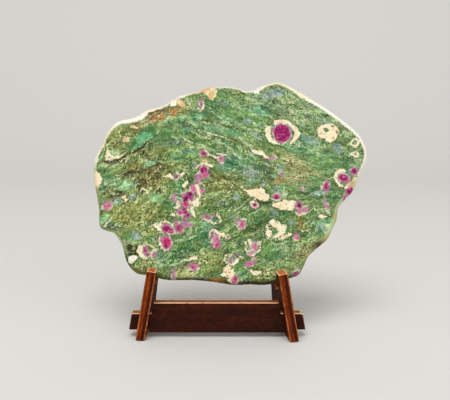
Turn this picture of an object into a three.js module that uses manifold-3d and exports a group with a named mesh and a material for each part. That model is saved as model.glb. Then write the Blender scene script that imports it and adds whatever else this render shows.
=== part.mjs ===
// Ruby in zoisite slice standing on a small wooden display stand.
// Millimetres, +Z up. The polished face looks toward -Y and leans back on the stand.
// The origin is on the floor, under the middle of the whole piece.
import * as THREE from 'three';
import { mergeVertices } from 'three/addons/utils/BufferGeometryUtils.js';
import Module from 'manifold-3d';

const wasm = await Module();
wasm.setup();
const degrees = THREE.MathUtils.degToRad;

// Slab. Its own axes: u to the right and v up the polished face, from the foot line.
const slabThickness = 14;
const slabLean = degrees(18);
const slabFaceY = 11.5; // where the foot line of the polished face stands
const slabFootZ = 42;
const rimRound = 3.4; // mean width of the natural rounded rim, beyond the flat face
const rimSamples = 230;
const rimSteps = 8;

// Stand. Two flat-cut side frames lean in on a cross board with through tenons.
const standX = -9.7;
const frameThickness = 6.9;
const frameLean = degrees(10);
const footFlat = 2.5; // width of the level flat that each square-cut foot stands on
const armTopZ = 92;
const rearFootY = 72;
const archHeight = 24;
const edgeChamfer = 0.5;
const boardFrontY = 7.5;
const boardThickness = 8;
const boardBottomZ = 3.5;
const boardTopZ = 26;
const tenonBottomZ = 5.7;
const tenonTopZ = 18.2;
const tenonReach = 64.6; // from the stand's centre to a tenon's end, at floor level
const clippedCorner = 1.2; // corner knocked off the right tenon
const fitGap = 0.4;
const shoulderGap = 0.9;

// The two frames are hand-cut, so the right one is lower, stands forward and is turned in.
// Each footX is from the stand's centre to the middle of that frame's feet.
const leftFrame = {
  name: 'side_frame_left',
  side: -1,
  footX: 54.7,
  frontY: 0,
  lipBackY: 12,
  tipZ: 50.4,
  seatZ: 40.6,
  turn: 0,
};
const rightFrame = {
  name: 'side_frame_right',
  side: 1,
  footX: 53.3,
  frontY: -3,
  lipBackY: 10.6,
  tipZ: 49,
  seatZ: 36.7,
  turn: 6,
};

const materials = {
  stone: new THREE.MeshStandardMaterial({ color: 0x5f8c62, roughness: 0.35, metalness: 0 }),
  frameWood: new THREE.MeshStandardMaterial({ color: 0x7a3314, roughness: 0.45, metalness: 0 }),
  boardWood: new THREE.MeshStandardMaterial({ color: 0x4e1d10, roughness: 0.5, metalness: 0 }),
};

// Natural outline of the slab, as [u, v], clockwise from its left tip.
const slabOutline = [
  [-102.5, 83], [-101.5, 91.5], [-96.5, 101.5], [-94.5, 107.5], [-89, 116], [-83, 120],
  [-77, 121], [-71, 123], [-62.5, 128], [-50, 131.5], [-44.5, 135.5], [-37.5, 139],
  [-24, 142], [-19, 144.5], [-12, 145.5], [-4, 145.7], [5, 144.8], [13, 142],
  [19, 144.5], [27, 147.5], [35, 149.5], [42, 147.5], [51, 142.5], [60.5, 136.2],
  [71, 129.5], [81.5, 122], [91, 114.5], [97, 108.5], [100.5, 102], [102.5, 95],
  [101.6, 86.7], [98, 79.5], [94.5, 72.5], [91.5, 65], [86, 59.5], [80, 53],
  [79, 48.7], [78, 42.5], [74.5, 35.5], [71, 29], [62.7, 22.3], [56.7, 16],
  [53.5, 9.5], [49.7, 3.2], [42.3, 0.8], [33, -2.5], [24, -4], [15, -3.7],
  [2, -4], [-6, -3], [-12.5, -2], [-25, -0.7], [-48, -0.2], [-57, 2.5],
  [-67.3, 4], [-73, 8.5], [-76.5, 14], [-78.3, 21.5], [-81, 27.5], [-86, 34],
  [-91, 35.5], [-95.8, 37.7], [-96.8, 44], [-97, 51], [-98.4, 58], [-100.2, 66],
  [-101.7, 74],
];

function solidOf(geometry) {
  const bare = geometry.clone();
  bare.deleteAttribute('normal');
  bare.deleteAttribute('uv');
  const merged = mergeVertices(bare, 1e-4);
  const vertProperties = new Float32Array(merged.attributes.position.array);
  const triVerts = new Uint32Array(merged.index.array);
  return new wasm.Manifold(new wasm.Mesh({ numProp: 3, vertProperties, triVerts }));
}

function geometryOf(solid) {
  const mesh = solid.getMesh();
  const geometry = new THREE.BufferGeometry();
  geometry.setAttribute('position', new THREE.BufferAttribute(mesh.vertProperties, 3));
  geometry.setIndex(new THREE.BufferAttribute(mesh.triVerts, 1));
  geometry.computeVertexNormals();
  return geometry;
}

function blockBetween(low, high) {
  const size = new THREE.Vector3().subVectors(high, low);
  const middle = new THREE.Vector3().addVectors(high, low).multiplyScalar(0.5);
  const block = new THREE.BoxGeometry(size.x, size.y, size.z);
  block.translate(middle.x, middle.y, middle.z);
  return solidOf(block);
}

function chamferedPlate(shape, thickness) {
  const plate = new THREE.ExtrudeGeometry(shape, {
    depth: thickness - 2 * edgeChamfer,
    curveSegments: 10,
    bevelEnabled: true,
    bevelThickness: edgeChamfer,
    bevelSize: edgeChamfer,
    bevelOffset: -edgeChamfer,
    bevelSegments: 1,
  });
  plate.translate(0, 0, edgeChamfer);
  return plate;
}

// The rim is a rounded section carried round the outline: flat face, swell, flat back.
function makeSlab() {
  const corners = slabOutline.map(([u, v]) => new THREE.Vector3(u, v, 0));
  const outline = new THREE.CatmullRomCurve3(corners, true, 'centripetal');
  const positions = [];
  const rings = [];
  for (let step = 0; step <= rimSteps; step += 1) {
    rings.push([]);
  }
  for (let sample = 0; sample < rimSamples; sample += 1) {
    const along = sample / rimSamples;
    const turn = 2 * Math.PI * along;
    const point = outline.getPointAt(along);
    const tangent = outline.getTangentAt(along);
    const inward = new THREE.Vector3(tangent.y, -tangent.x, 0);
    const width = rimRound + 0.8 * Math.sin(3 * turn + 0.5) + 0.4 * Math.sin(7 * turn + 2);
    const ridge = 0.5 + 0.1 * Math.sin(2 * turn + 1) + 0.05 * Math.sin(5 * turn);
    for (let step = 0; step <= rimSteps; step += 1) {
      const sweep = Math.PI * step / rimSteps;
      const inset = width * (1 - Math.sin(sweep));
      const even = (1 - Math.cos(sweep)) / 2;
      const depth = slabThickness * (even + (ridge - 0.5) * Math.sin(sweep) ** 2);
      const place = point.clone().addScaledVector(inward, inset);
      rings[step].push(place);
      positions.push(place.x, place.y, -depth);
    }
  }
  const vertexAt = (sample, step) => (sample % rimSamples) * (rimSteps + 1) + step;
  const index = [];
  for (let sample = 0; sample < rimSamples; sample += 1) {
    for (let step = 0; step < rimSteps; step += 1) {
      const a = vertexAt(sample, step);
      const b = vertexAt(sample + 1, step);
      const c = vertexAt(sample + 1, step + 1);
      const d = vertexAt(sample, step + 1);
      index.push(a, b, c, a, c, d);
    }
  }
  for (const step of [0, rimSteps]) {
    const facing = step === 0 ? 1 : -1;
    for (const triangle of THREE.ShapeUtils.triangulateShape(rings[step], [])) {
      const [a, b, c] = triangle.map((sample) => vertexAt(sample, step));
      index.push(...(facing > 0 ? [a, b, c] : [a, c, b]));
    }
  }
  const geometry = new THREE.BufferGeometry();
  geometry.setAttribute('position', new THREE.Float32BufferAttribute(positions, 3));
  geometry.setIndex(index);
  geometry.computeVertexNormals();
  const slab = new THREE.Mesh(geometry, materials.stone);
  slab.name = 'slab';
  slab.position.set(0, slabFaceY, slabFootZ);
  slab.rotation.x = Math.PI / 2 - slabLean;
  return slab;
}

// y of a rest arm's front side at height z, just behind the slab's back face.
function armFrontY(z, gap) {
  const backFootY = slabFaceY + slabThickness * Math.cos(slabLean);
  const backFootZ = slabFootZ - slabThickness * Math.sin(slabLean);
  return backFootY + (z - backFootZ) * Math.tan(slabLean) + gap;
}

// Side view of one frame: front post with its lip, seat, rest arm, rear leg and arch.
function frameOutline({ frontY, lipBackY, tipZ, seatZ, turn }) {
  const up = (z) => z / Math.cos(frameLean);
  const gap = fitGap + Math.sin(degrees(turn)) * frameThickness;
  const armTopY = armFrontY(armTopZ, gap);
  const seatBackZ = seatZ - 4;
  const shape = new THREE.Shape();
  shape.moveTo(frontY, 0);
  shape.lineTo(frontY, up(tipZ));
  shape.lineTo(lipBackY, up(tipZ));
  shape.lineTo(lipBackY, up(seatZ));
  shape.lineTo(armFrontY(seatBackZ, gap), up(seatBackZ));
  shape.lineTo(armTopY, up(armTopZ));
  shape.quadraticCurveTo(armTopY + 3, up(armTopZ + 3.5), armTopY + 7, up(armTopZ - 2));
  shape.lineTo(39.5, up(52));
  shape.quadraticCurveTo(46, up(24), rearFootY, up(4));
  shape.lineTo(rearFootY, 0);
  shape.lineTo(rearFootY - 11, 0);
  shape.quadraticCurveTo(rearFootY - 26, up(archHeight - 4), 33, up(archHeight));
  shape.quadraticCurveTo(23, up(archHeight - 1), 22.5, 0);
  return shape;
}

function makeFrame(choice) {
  const plate = chamferedPlate(frameOutline(choice), frameThickness);
  plate.translate(0, 0, -frameThickness / 2);
  const alongY = new THREE.Vector3(0, 1, 0);
  const alongZ = new THREE.Vector3(0, 0, 1);
  const alongX = new THREE.Vector3(1, 0, 0);
  plate.applyMatrix4(new THREE.Matrix4().makeBasis(alongY, alongZ, alongX));
  const boardMiddleY = boardFrontY + boardThickness / 2;
  plate.translate(0, -boardMiddleY, 0);
  plate.rotateZ(degrees(choice.turn));
  plate.rotateY(-choice.side * frameLean);
  const squareCutDrop = (frameThickness / 2 - edgeChamfer) * Math.sin(frameLean);
  const liftZ = squareCutDrop - footFlat * Math.tan(frameLean);
  plate.translate(standX + choice.side * choice.footX, boardMiddleY, liftZ);
  const far = 200;
  const floor = blockBetween(new THREE.Vector3(-far, -far, -far), new THREE.Vector3(far, far, 0));
  const mortise = blockBetween(
    new THREE.Vector3(-far, boardFrontY - fitGap, tenonBottomZ - fitGap),
    new THREE.Vector3(far, boardFrontY + boardThickness + fitGap, tenonTopZ + fitGap),
  );
  const cut = solidOf(plate).subtract(floor).subtract(mortise);
  const frame = new THREE.Mesh(geometryOf(cut), materials.frameWood);
  frame.name = choice.name;
  return frame;
}

function makeBoard() {
  const slope = Math.tan(frameLean);
  const footToShoulder = frameThickness / (2 * Math.cos(frameLean)) + shoulderGap;
  const leftShoulder = (z) => z * slope + footToShoulder - leftFrame.footX;
  const rightShoulder = (z) => rightFrame.footX - footToShoulder - z * slope;
  const tenonEnd = (z) => tenonReach - z * slope;
  const shape = new THREE.Shape();
  shape.moveTo(leftShoulder(boardBottomZ), boardBottomZ);
  shape.lineTo(rightShoulder(boardBottomZ), boardBottomZ);
  shape.lineTo(rightShoulder(tenonBottomZ), tenonBottomZ);
  shape.lineTo(tenonEnd(tenonBottomZ), tenonBottomZ);
  shape.lineTo(tenonEnd(tenonTopZ - clippedCorner), tenonTopZ - clippedCorner);
  shape.lineTo(tenonEnd(tenonTopZ) - clippedCorner, tenonTopZ);
  shape.lineTo(rightShoulder(tenonTopZ), tenonTopZ);
  shape.lineTo(rightShoulder(boardTopZ), boardTopZ);
  shape.lineTo(leftShoulder(boardTopZ), boardTopZ);
  shape.lineTo(leftShoulder(tenonTopZ), tenonTopZ);
  shape.lineTo(-tenonEnd(tenonTopZ), tenonTopZ);
  shape.lineTo(-tenonEnd(tenonBottomZ), tenonBottomZ);
  shape.lineTo(leftShoulder(tenonBottomZ), tenonBottomZ);
  const board = new THREE.Mesh(chamferedPlate(shape, boardThickness), materials.boardWood);
  board.name = 'cross_board';
  board.position.set(standX, boardFrontY + boardThickness, 0);
  board.rotation.x = Math.PI / 2;
  return board;
}

const piece = new THREE.Group();
piece.add(makeSlab());
for (const choice of [leftFrame, rightFrame]) {
  piece.add(makeFrame(choice));
}
piece.add(makeBoard());

const extent = new THREE.Box3().setFromObject(piece, true);
const middle = extent.getCenter(new THREE.Vector3());
piece.position.set(-middle.x, -middle.y, -extent.min.z);

export default piece;
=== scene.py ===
import math

import bmesh
import bpy
import numpy as np
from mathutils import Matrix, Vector, geometry, kdtree, noise
from mathutils.bvhtree import BVHTree


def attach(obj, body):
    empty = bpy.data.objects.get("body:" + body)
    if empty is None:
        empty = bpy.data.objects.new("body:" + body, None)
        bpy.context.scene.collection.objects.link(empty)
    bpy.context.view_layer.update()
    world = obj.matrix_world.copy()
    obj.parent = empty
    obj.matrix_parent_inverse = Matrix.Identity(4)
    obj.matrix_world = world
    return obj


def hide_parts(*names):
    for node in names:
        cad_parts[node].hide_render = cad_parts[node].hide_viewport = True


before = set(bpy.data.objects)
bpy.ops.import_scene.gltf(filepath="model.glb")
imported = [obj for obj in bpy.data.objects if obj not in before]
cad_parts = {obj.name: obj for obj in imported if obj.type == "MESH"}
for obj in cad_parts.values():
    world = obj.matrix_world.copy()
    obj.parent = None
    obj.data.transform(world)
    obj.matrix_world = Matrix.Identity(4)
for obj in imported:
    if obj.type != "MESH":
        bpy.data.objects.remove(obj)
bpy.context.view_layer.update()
mm = 0.001


class Wire:
    # one output socket of a material; sums on it add Math nodes
    def __init__(self, recipe, socket):
        self.recipe = recipe
        self.socket = socket

    def maths(self, operation, first, second=0.0):
        return self.recipe.node("ShaderNodeMath", {"operation": operation}, {0: first, 1: second})

    def __add__(self, other):
        return self.maths("ADD", self, other)

    def __radd__(self, other):
        return self.maths("ADD", other, self)

    def __sub__(self, other):
        return self.maths("SUBTRACT", self, other)

    def __rsub__(self, other):
        return self.maths("SUBTRACT", other, self)

    def __mul__(self, other):
        return self.maths("MULTIPLY", self, other)

    def __rmul__(self, other):
        return self.maths("MULTIPLY", other, self)

    def __rpow__(self, other):
        return self.maths("POWER", other, self)

    def __abs__(self):
        return self.maths("ABSOLUTE", self)


class Recipe:
    # a material built node by node, in the tones of one palette
    def __init__(self, name, tones):
        self.tones = tones
        self.material = bpy.data.materials.new(name)
        self.material.use_nodes = True
        self.tree = self.material.node_tree
        self.tree.nodes.clear()

    def node(self, kind, settings, sockets, output=0):
        made = self.tree.nodes.new(kind)
        for name, value in settings.items():
            setattr(made, name, value)
        for key, value in sockets.items():
            if isinstance(value, Wire):
                self.tree.links.new(value.socket, made.inputs[key])
            else:
                made.inputs[key].default_value = value
        return Wire(self, made.outputs[output]) if made.outputs else None

    def read(self, name, output="Fac"):
        # what the mesh keeps under this name for each point
        return self.node("ShaderNodeAttribute", {"attribute_name": name}, {}, output)

    def place(self, name, fineness):
        # a place that the mesh keeps, times how fine a pattern is along each axis
        sockets = {0: self.read(name, "Vector"), 1: fineness}
        return self.node("ShaderNodeVectorMath", {"operation": "MULTIPLY"}, sockets)

    def cloud(self, name, fineness, detail=2.0, roughness=0.5):
        # soft noise about 0
        place = self.place(name, fineness)
        sockets = {"Vector": place, "Scale": 1.0, "Detail": detail, "Roughness": roughness}
        return self.node("ShaderNodeTexNoise", {}, sockets, "Fac") - 0.5

    def step(self, value, low, high):
        # 0 at low, 1 at high, soft between; high may be the smaller number
        settings = {"interpolation_type": "SMOOTHSTEP"}
        return self.node("ShaderNodeMapRange", settings, {0: value, 1: low, 2: high})

    def paint(self, under, over, cover):
        # over is the name of a tone, or a colour read or mixed before
        over = self.tones[over] if isinstance(over, str) else over
        return self.node("ShaderNodeMix", {"data_type": "RGBA"}, {0: cover, 6: under, 7: over}, 2)

    def coats(self, under, rows):
        # each coat: its tone, the value that it follows, where it starts, where it is full, its share
        for over, value, start, full, share in rows:
            under = self.paint(under, over, self.step(value, start, full) * share)
        return under

    def surface(self, sockets):
        shader = self.node("ShaderNodeBsdfPrincipled", {}, sockets)
        self.node("ShaderNodeOutputMaterial", {}, {"Surface": shader})
        return self.material

    def relief(self, height, look):
        sockets = {"Strength": look["bump"], "Distance": look["relief"] * mm, "Height": height}
        return self.node("ShaderNodeBump", {}, sockets, "Normal")


def colour(red, green, blue):
    # screen values from 0 to 255, turned into the linear colour that a shader takes
    def linear(part):
        part = part / 255
        return part / 12.92 if part <= 0.04045 else ((part + 0.055) / 1.055) ** 2.4

    return (linear(red), linear(green), linear(blue), 1.0)


def palette(shades):
    return {name: colour(*shade) for name, shade in shades.items()}


def newObject(name, mesh):
    made = bpy.data.objects.new(name, mesh)
    bpy.context.collection.objects.link(made)
    return made


def keep(mesh, name, kind, values):
    # stores one value for each point, for the material to read
    layer = mesh.attributes.new(name, kind, "POINT")
    field = {"FLOAT": "value", "FLOAT_VECTOR": "vector", "FLOAT_COLOR": "color"}[kind]
    layer.data.foreach_set(field, np.ravel(values))


def nearestGap(points, marks):
    # distance from each point to the nearest mark, on a plane or in space
    tree = kdtree.KDTree(len(marks))
    for spot, mark in enumerate(marks):
        tree.insert(Vector(mark).to_3d(), spot)
    tree.balance()
    return np.array([tree.find(Vector(point).to_3d())[2] for point in points])


# Slab shape, in mm. u runs right and v runs up the polished face, w goes through to the back.
slabShape = {
    "lean": 18.0,  # degrees
    "thickness": 14.0,
    "footAbove": 4.0,  # height of v = 0 over the lowest point of the rim, along the face
    "middle": (0.0, 70.0),
    "faceStep": 0.78,  # spacing of the points on the polished face
    "backStep": 1.05,
    "around": 720,  # points round the rim
    "across": 20,  # points across the rim
    "roughness": 0.55,  # depth of the dents in the rim
    "lumps": 0.11,  # how many broad dents to a mm
    "chips": 0.55,  # how many fine ones
    "askew": (-0.9, 0.5),  # how far the layers shift with each mm of depth
    "ripples": ((0.2, 1.0), (0.5, 0.5)),  # how often the markings waver to a mm, and how far
    "rippleSeed": 12,
    "meadowGrain": 0.55,  # how grainy the plain green ground is
    "plainGrain": 0.15,  # where a zone's tone isn't in the list of grainy ones
    "zoneCover": 0.9,
    "zoneBlur": 0.22,  # softness of a zone's edge, as a share of its smaller half size
    "crystalCorners": 0.6,  # how six-sided the rubies are, from 0 for round
    "patchCorners": 0.5,
}

lean = math.radians(slabShape["lean"])
slabAxes = np.array([
    [1.0, 0.0, 0.0],
    [0.0, math.sin(lean), math.cos(lean)],
    [0.0, math.cos(lean), -math.sin(lean)],
])


def slabPlaces():
    # the CAD slab's points as u, v, w in mm, and the place of u = v = w = 0 along the slab's axes
    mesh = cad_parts["slab"].data
    points = np.array([vertex.co for vertex in mesh.vertices]) / mm
    along = points @ slabAxes.T
    low = along.min(0)
    zero = np.array([(low[0] + along[:, 0].max()) / 2, low[1] + slabShape["footAbove"], low[2]])
    return along - zero, zero


def isInside(points, outline):
    inside = np.zeros(len(points), bool)
    for (u0, v0), (u1, v1) in zip(outline, np.roll(outline, -1, 0)):
        crosses = (v0 > points[:, 1]) != (v1 > points[:, 1])
        if crosses.any():
            meet = u0 + (points[crosses, 1] - v0) * (u1 - u0) / (v1 - v0)
            inside[crosses] ^= points[crosses, 0] < meet
    return inside


def facePlate(outline, step):
    # flat triangles inside a closed outline, with evenly spaced points between
    low = outline.min(0)
    high = outline.max(0)
    rows = []
    rowHeight = step * math.sqrt(3) / 2
    for row in range(int((high[1] - low[1]) / rowHeight) + 1):
        start = low[0] + (step / 2 if row % 2 else 0)
        across = np.arange(start, high[0], step)
        rows.append(np.stack([across, np.full(len(across), low[1] + row * rowHeight)], 1))
    grid = np.concatenate(rows)
    grid = grid[isInside(grid, outline) & (nearestGap(grid, outline) > 0.6 * step)]
    points = [Vector(point) for point in np.concatenate([outline, grid])]
    count = len(outline)
    edges = [(spot, (spot + 1) % count) for spot in range(count)]
    made = geometry.delaunay_2d_cdt(points, edges, [], 1, 1e-5, True)
    origin = [source[0] for source in made[3]]
    flat = np.zeros((len(points), 2))
    for spot, source in enumerate(origin):
        flat[source] = made[0][spot]
    faces = np.array([[origin[corner] for corner in face] for face in made[2]])
    # the triangulation also bridges the hollows of the outline, so those faces go
    return flat, faces[isInside(flat[faces].mean(1), outline)]


def evenLoop(corners, count):
    # a closed loop with evenly spaced points, its corners rounded off
    loop = np.concatenate([corners, corners[:1]])
    lengths = np.concatenate([[0.0], np.cumsum(np.linalg.norm(np.diff(loop, axis=0), axis=1))])
    at = np.linspace(0, lengths[-1], count, endpoint=False)
    even = np.stack([np.interp(at, lengths, loop[:, axis]) for axis in (0, 1)], 1)
    for _ in range(4):
        even = (np.roll(even, 1, 0) + 2 * even + np.roll(even, -1, 0)) / 4
    return even


def faceEdge(places):
    # evenly spaced points round the polished face, and the way outward from each
    front = places[places[:, 2] < 0.01][:, :2]
    front = np.unique(np.round(front, 3), axis=0)
    turned = front - np.array(slabShape["middle"])
    front = front[np.argsort(np.arctan2(turned[:, 1], turned[:, 0]))]
    ring = evenLoop(front, slabShape["around"])
    ahead = np.roll(ring, -1, 0) - np.roll(ring, 1, 0)
    outward = np.stack([ahead[:, 1], -ahead[:, 0]], 1)
    outward /= np.linalg.norm(outward, axis=1, keepdims=True)
    for _ in range(12):  # the more, the less the hollows turn the rim aside
        outward = (np.roll(outward, 1, 0) + outward + np.roll(outward, -1, 0)) / 3
    return ring, outward / np.linalg.norm(outward, axis=1, keepdims=True)


def rimReach(places, ring, outward, depths):
    # how far the CAD slab's rim stands out past the edge of the polished face, at each depth
    faces = [tuple(polygon.vertices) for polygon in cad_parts["slab"].data.polygons]
    rimSurface = BVHTree.FromPolygons([tuple(place) for place in places], faces)
    farOut = 14.0  # where each ray starts on its way in
    longest = 20.0
    inset = 0.02  # keeps the rays off the flat faces
    reach = np.zeros((len(depths), len(ring)))
    for level, depth in enumerate(depths):
        probe = min(max(depth, inset), slabShape["thickness"] - inset)
        for spot, (edge, out) in enumerate(zip(ring, outward)):
            start = edge + out * farOut
            way = Vector((-out[0], -out[1], 0.0))
            hit = rimSurface.ray_cast(Vector((start[0], start[1], probe)), way, longest)[3]
            reach[level, spot] = farOut - hit if hit is not None else 0.0
    for _ in range(3):
        reach = (np.roll(reach, 1, 1) + 2 * reach + np.roll(reach, -1, 1)) / 4
    return reach


def roughRim(ring, outward, depths, reach):
    # dents, lumps and small chips, always inward so that the slab keeps its size
    rim = []
    for level, depth in enumerate(depths):
        fullness = math.sin(math.pi * level / slabShape["across"])
        for edge, out, stands in zip(ring, outward, reach[level]):
            base = edge + out * stands
            place = Vector((base[0], base[1], depth))
            lumps = 0.5 + 0.5 * noise.fractal(place * slabShape["lumps"], 1.0, 2.0, 3)
            chips = 0.5 + 0.5 * noise.fractal(place * slabShape["chips"], 0.8, 2.0, 3)
            dent = slabShape["roughness"] * (0.9 * lumps + (0.25 + 0.5 * fullness) * chips)
            rim.append([*(base - out * max(dent, 0.0)), depth])
    return np.array(rim).reshape(len(depths), -1, 3)


def slabSurface():
    places, zero = slabPlaces()
    ring, outward = faceEdge(places)
    thickness, around, across = (slabShape[part] for part in ("thickness", "around", "across"))
    depths = [thickness * (1 - math.cos(math.pi * level / across)) / 2 for level in range(across + 1)]
    rim = roughRim(ring, outward, depths, rimReach(places, ring, outward, depths))
    front, frontFaces = facePlate(rim[0, :, :2], slabShape["faceStep"])
    back, backFaces = facePlate(rim[-1, :, :2], slabShape["backStep"])
    middleRim = rim[1:-1].reshape(-1, 3)
    backStart = len(front) + len(middleRim)
    points = np.concatenate([
        np.column_stack([front, np.zeros(len(front))]),
        middleRim,
        np.column_stack([back, np.full(len(back), thickness)]),
    ])
    # the rim's first and last rows are the outlines of the two flat faces
    starts = [0, *range(len(front), backStart, around), backStart]
    rows = [np.arange(start, start + around) for start in starts]
    faces = [tuple(face) for face in frontFaces] + [tuple(face[::-1] + backStart) for face in backFaces]
    for near, far in zip(rows, rows[1:]):
        faces += zip(near, far, np.roll(far, -1), np.roll(near, -1))
    # how far each point is past the edge of its flat face, negative on the face itself
    travel = np.cumsum(np.linalg.norm(np.diff(rim, axis=0), axis=2), axis=0)
    past = np.concatenate([
        -nearestGap(front, rim[0, :, :2]),
        np.minimum(travel, travel[-1] - travel)[:-1].ravel(),
        -nearestGap(back, rim[-1, :, :2]),
    ])
    print("slab:", len(points), "points,", len(faces), "faces")
    return points, faces, past, zero


# colours of the stone
tones = palette({
    "ruby": (144, 6, 88), "rose": (190, 36, 98), "pink": (206, 94, 142), "lilac": (166, 118, 148),
    "plum": (98, 6, 60), "blush": (236, 150, 186), "ivory": (244, 232, 196), "shell": (252, 228, 192),
    "honey": (222, 184, 122), "white": (252, 247, 230), "mist": (196, 214, 162), "slate": (144, 166, 160),
    "smoke": (70, 92, 84), "meadow": (106, 137, 70), "leaf": (106, 152, 78), "forest": (52, 108, 54),
    "moss": (66, 82, 30), "shade": (34, 58, 22), "sage": (136, 162, 96), "olive": (124, 122, 48),
    "teal": (80, 148, 108), "mint": (150, 198, 142), "tan": (178, 170, 112), "rust": (158, 104, 34),
    "amber": (200, 134, 62), "umber": (54, 33, 16), "peach": (222, 178, 138), "aqua": (98, 168, 120),
    "sand": (216, 192, 138), "bark": (120, 98, 46), "straw": (158, 164, 84), "fern": (146, 164, 116),
    "orchid": (206, 116, 148), "mauve": (170, 132, 146), "wine": (158, 58, 84),
})

# Where the markings lie on the polished face, in mm. Each row of ovals is a tone, then
# (u, v, half width, half height, and its turn in degrees if it is turned) for each oval.
# Later ones lie on top.
rubies = [
    ("smoke", (-13.5, 33.3, 1.4, 1.4), (-22, 130.5, 1.1, 2.5, 5)),
    ("orchid", (-7, 88.3, 1.7, 2.3, 20), (-27.5, 65.7, 1.9, 2.9, 10), (-20.8, 64.6, 1.3, 1.6),
     (-39.4, 40.6, 1.4, 1.6), (-90, 53.4, 3.2, 2.5, 25), (-10.8, 28.9, 2.3, 3, -10),
     (17.5, 23.8, 1.8, 2.6, -15)),
    ("wine", (-37.2, 36.9, 2.3, 3.2, 20)),
    ("ruby", (38.2, 108.2, 6.9, 7.5, 10), (-20, 92.8, 2.7, 2.1, -10), (-19.7, 80.2, 3.1, 3.1, 25)),
    ("plum", (-39.5, 75.5, 1.1, 1.9), (-32.8, 58.8, 2.5, 3.2, -30), (-30, 62.1, 2.4, 2.2)),
    ("rose", (-32.6, 54.7, 2.9, 2.2), (-46.3, 26.6, 3.4, 4.6, 12), (-9.8, 24.8, 2.1, 1.9),
     (2.8, -0.8, 2, 3, -15)),
    ("pink", (-18.3, 77, 2.3, 2.3), (-33.8, 61.6, 1.4, 1.4)),
    ("lilac", (-22.8, 75.3, 2.6, 2.2, 30), (-29.7, 39.5, 1.7, 1.6)),
    ("mauve", (-24.2, 71, 1.5, 2), (-41, 59.7, 1.3, 1.9, 10), (-49.8, 28.5, 1.2, 2.2, 10),
     (-55.3, 18.2, 1.2, 2.2, -10), (31.5, 89.5, 1.5, 1, 10), (37.5, 77.5, 0.9, 0.7)),
    ("ruby", (-28.7, 59.5, 1.6, 2.3)), ("plum", (-33.9, 51.3, 2.1, 1.6)),
    ("pink", (-36.8, 48.5, 2, 2.4), (8.3, 39.7, 2, 2.6, -15), (13.5, 11, 3, 1.5, 25),
     (-26.6, 9, 3.1, 2.1, -5)),
    ("mauve", (5.8, 42.4, 1, 1.6, 20), (17, 14.8, 1, 1.1), (52.9, 65.9, 1.1, 0.7),
     (69.7, 54, 0.9, 2.9, 15)),
    ("ruby", (-33, 48.6, 1.9, 1.9), (-46.7, 36.9, 3.4, 2.7, -20), (-43.5, 35, 2.4, 2.1),
     (-61.4, 20.9, 1.6, 2.3, 10)),
    ("plum", (-33.4, 44.8, 1.1, 2.9, -5), (-30.9, 46.4, 1.4, 2, -10), (-38.2, 38.8, 1.1, 1.3),
     (-46.6, 23.2, 1.8, 1.4), (-59.5, 17.8, 1.5, 1.2), (-17.7, 45.3, 1.9, 1.3, 10),
     (17.4, 54.2, 1.7, 1.6, 20), (-2, 30.7, 1.2, 1.1, 30), (0.1, 13.7, 0.8, 1.5, -10),
     (49.7, 53.7, 2.2, 2.5)),
    ("orchid", (50.6, 49.7, 1.9, 1.9), (47.7, 30.5, 2, 2)),
    ("lilac", (-33.5, 39.9, 1.4, 2.3, -20), (34.2, 60.7, 2.5, 2, 20), (15.4, 19.3, 2, 1.4, 15),
     (-41, 3, 1.2, 2.4, -10)),
    ("ruby", (33.6, 60.1, 2.7, 2, 20), (47, 4, 2.8, 1.9, 35), (83.2, 74.2, 4.2, 3.1, -15),
     (91.1, 79.3, 2.4, 2.6), (70.2, 68.1, 2, 3.8, -8), (87.1, 64.2, 2.7, 3.4, -30)),
    ("lilac", (84.4, 59, 2.3, 2.7, -30), (54.8, 50.5, 1.6, 2.1)),
]

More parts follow.
